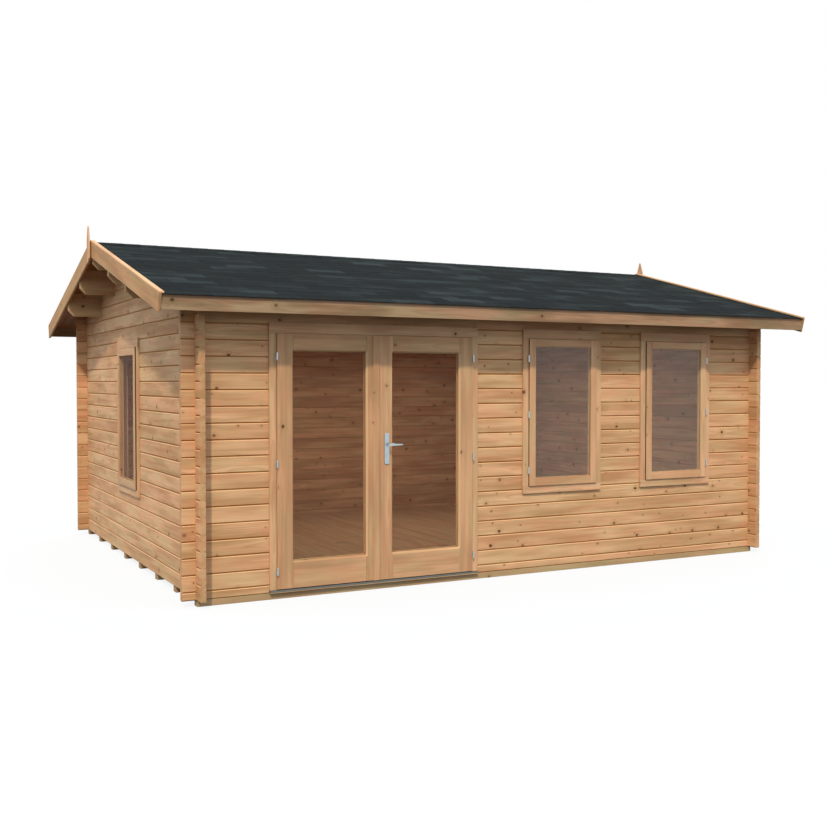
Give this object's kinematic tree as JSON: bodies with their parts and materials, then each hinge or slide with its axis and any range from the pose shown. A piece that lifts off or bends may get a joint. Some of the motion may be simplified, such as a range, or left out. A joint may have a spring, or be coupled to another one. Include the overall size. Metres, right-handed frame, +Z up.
{
  "type": "log cabin",
  "caption": "Garden cabin of interlocking logs with a gable roof, a glazed double door with a lever handle, and glazed windows, standing on floor bearers.",
  "frame": {"origin": "ground level, in the middle of the footprint", "axes": "+X along the front to the right as seen from the front, +Y from the front to the back, +Z up"},
  "size_m": [5.7726, 4.508, 2.8018],
  "materials": {
    "log_wood": "stained planed softwood with small dark knots",
    "trim_wood": "stained planed softwood boards",
    "joinery_wood": "stained planed softwood, satin",
    "roof_board_wood": "stained roof boards",
    "floor_wood": "planed floor boards",
    "bearer_wood": "pressure treated rough sawn softwood",
    "roof_felt": "mineral surfaced bitumen shingles",
    "clear_glass": "clear float glass",
    "fitting_steel": "satin steel",
    "threshold_metal": "dull grey sill section"
  },
  "bodies": {
    "cabin": {"floor_bearers": "bearer_wood", "floor": "floor_wood", "front_logs_left": "log_wood", "front_logs_middle": "log_wood", "front_logs_between_windows": "log_wood", "front_logs_right": "log_wood", "front_logs_below_windows": "log_wood", "front_logs_head": "log_wood", "left_logs_front": "log_wood", "left_logs_back": "log_wood", "left_logs_below_window": "log_wood", "left_logs_head": "log_wood", "right_wall_logs": "log_wood", "back_wall_logs": "log_wood", "left_gable_logs": "log_wood", "right_gable_logs": "log_wood", "purlins": "log_wood", "front_roof_boards": "roof_board_wood", "back_roof_boards": "roof_board_wood", "front_roof_felt": "roof_felt", "back_roof_felt": "roof_felt", "front_fascia": "trim_wood", "back_fascia": "trim_wood", "left_bargeboards": "trim_wood", "right_bargeboards": "trim_wood", "left_barge_caps": "trim_wood", "right_barge_caps": "trim_wood", "left_finial": "trim_wood", "right_finial": "trim_wood", "door_frame": "joinery_wood", "door_threshold": "threshold_metal", "frame_hinge_pins": "fitting_steel", "front_window_frames": "joinery_wood", "front_window_sashes": "joinery_wood", "front_window_glass": "clear_glass", "side_window_frame": "joinery_wood", "side_window_sash": "joinery_wood", "side_window_glass": "clear_glass", "window_hinges": "fitting_steel"},
    "left_door": {"left_door_leaf": "joinery_wood", "left_door_glass": "clear_glass", "left_door_hinges": "fitting_steel"},
    "right_door": {"right_door_leaf": "joinery_wood", "right_door_glass": "clear_glass", "right_door_hinges": "fitting_steel", "door_handle_plates": "fitting_steel"},
    "lever": {"door_lever": "fitting_steel"}
  },
  "joints": [
    {"name": "left_door_swing", "type": "hinge", "parent": "cabin", "child": "left_door", "pos_m": [-1.978, -1.988, 0.951], "axis": [0, 0, -1], "range_deg": [0, 110]},
    {"name": "right_door_swing", "type": "hinge", "parent": "cabin", "child": "right_door", "pos_m": [-0.39, -1.988, 0.951], "axis": [0, 0, 1], "range_deg": [0, 110]},
    {"name": "lever_turn", "type": "hinge", "parent": "right_door", "child": "lever", "pos_m": [-1.128, -1.958, 1.065], "axis": [0, 1, 0], "range_deg": [0, 45], "stiffness_Nm_per_rad": 1.5}
  ]
}
